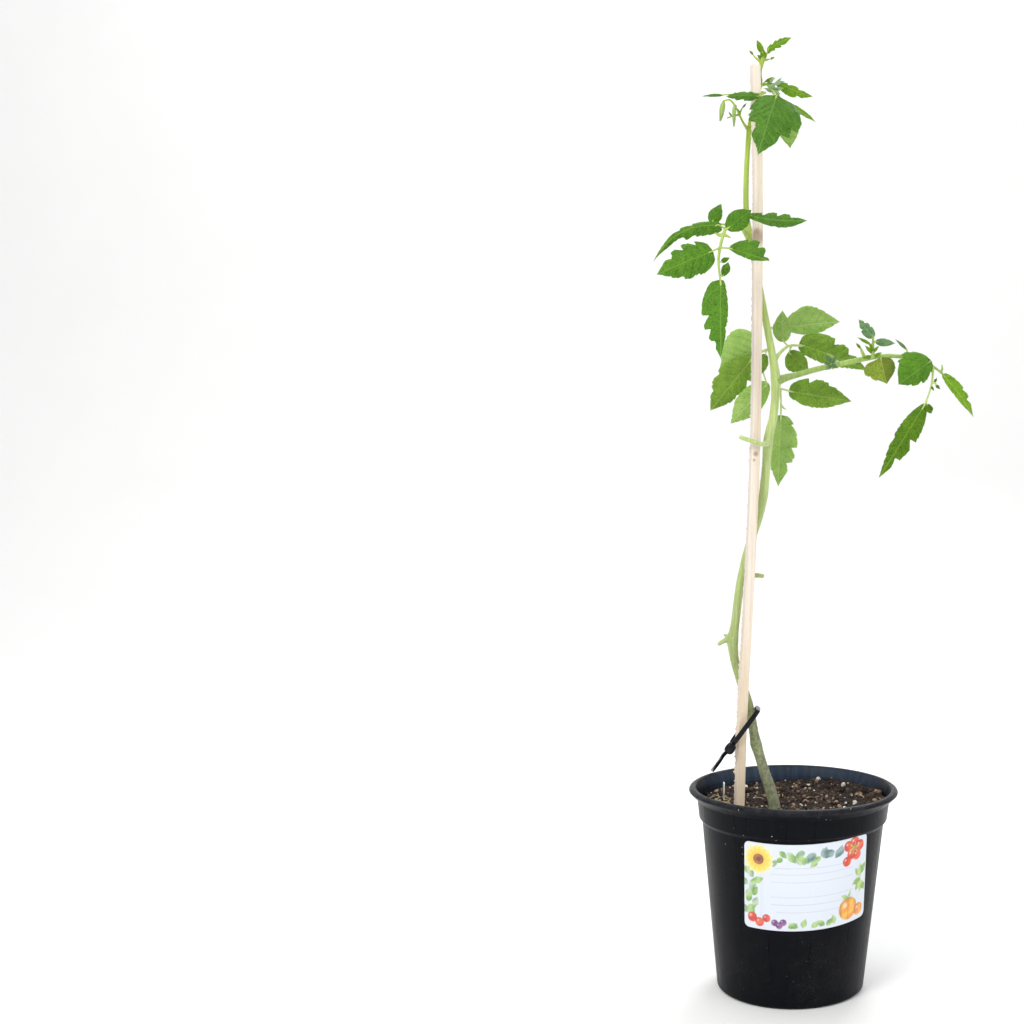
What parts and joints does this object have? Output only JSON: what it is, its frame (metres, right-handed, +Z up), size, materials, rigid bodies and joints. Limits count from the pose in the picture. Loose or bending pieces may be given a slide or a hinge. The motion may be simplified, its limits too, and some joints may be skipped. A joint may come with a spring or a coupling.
{
  "type": "potted tomato plant",
  "caption": "Young tomato plant in a tapered nursery pot, its tall slender stem tied to a wooden stake, with lobed leaflets, a long side shoot and hanging buds; a label wraps the pot's front.",
  "frame": {"origin": "centre of the pot's foot, on the surface it stands on", "axes": "+Z up along the pot's axis; -Y towards the front, where the label is; +X towards the long side shoot"},
  "size_m": [0.2588, 0.17, 0.7657],
  "materials": {
    "black_plastic": "satin",
    "potting_mix": "matte",
    "printed_paper": "satin",
    "pale_wood": "matte",
    "black_nylon": "satin",
    "white_plastic": "satin",
    "stem_green": "satin",
    "shoot_green": "satin",
    "leaf_green": "satin",
    "leaf_dark": "satin",
    "leaf_light": "satin",
    "leaf_young": "satin",
    "leaf_olive": "satin",
    "bud_green": "satin"
  },
  "bodies": {
    "root": {"pot": "black_plastic", "soil": "potting_mix", "label": "printed_paper", "stake": "pale_wood", "cable_tie": "black_nylon", "plant_marker": "white_plastic", "main_stem": "stem_green", "side_shoot": "shoot_green", "apex_leaflet_left": "leaf_young", "apex_leaflet_right": "leaf_young", "back_leaf_stalk": "stem_green", "back_leaflet_a": "leaf_light", "back_leaflet_b": "leaf_green", "back_leaflet_c": "leaf_light", "back_leaflet_d": "leaf_green", "bud_long": "bud_green", "bud_short": "bud_green", "hanging_leaflet": "leaf_green", "hanging_leaflet_round": "leaf_dark", "hanging_stalk": "stem_green", "high_leaf_stalk": "stem_green", "high_leaflet": "leaf_light", "lower_leaf_stalk": "stem_green", "lower_leaflet_a": "leaf_green", "lower_leaflet_b": "leaf_light", "right_leaf_stalk": "stem_green", "right_leaflet_a": "leaf_light", "right_leaflet_b": "leaf_green", "right_leaflet_c": "leaf_green", "shoot_leaflet_broad": "leaf_green", "shoot_leaflet_end": "leaf_young", "shoot_leaflet_folded": "leaf_olive", "shoot_leaflet_thin": "leaf_dark", "shoot_tip_leaflet_left": "leaf_young", "shoot_tip_leaflet_right": "leaf_dark", "shoot_tip_leaflet_up": "leaf_dark", "top_leaf_stalk": "stem_green", "top_leaflet_behind": "leaf_light", "top_leaflet_front": "leaf_dark", "top_leaflet_narrow": "leaf_young", "top_leaflet_right": "leaf_young", "top_leaflet_tiny": "leaf_young", "top_left_leaflet": "leaf_dark", "top_left_leaflet_end": "leaf_dark", "top_left_stalk": "stem_green", "truss_stalk": "stem_green", "upper_leaf_stalk": "stem_green", "upper_leaflet_a": "leaf_green", "upper_leaflet_b": "leaf_green", "upper_leaflet_c": "leaf_green", "upper_leaflet_d": "leaf_green", "upper_leaflet_e": "leaf_dark", "upper_leaflet_f": "leaf_green", "upper_leaflet_g": "leaf_green", "upper_leaflet_h": "leaf_green", "upper_leaflet_i": "leaf_green"}
  },
  "joints": []
}
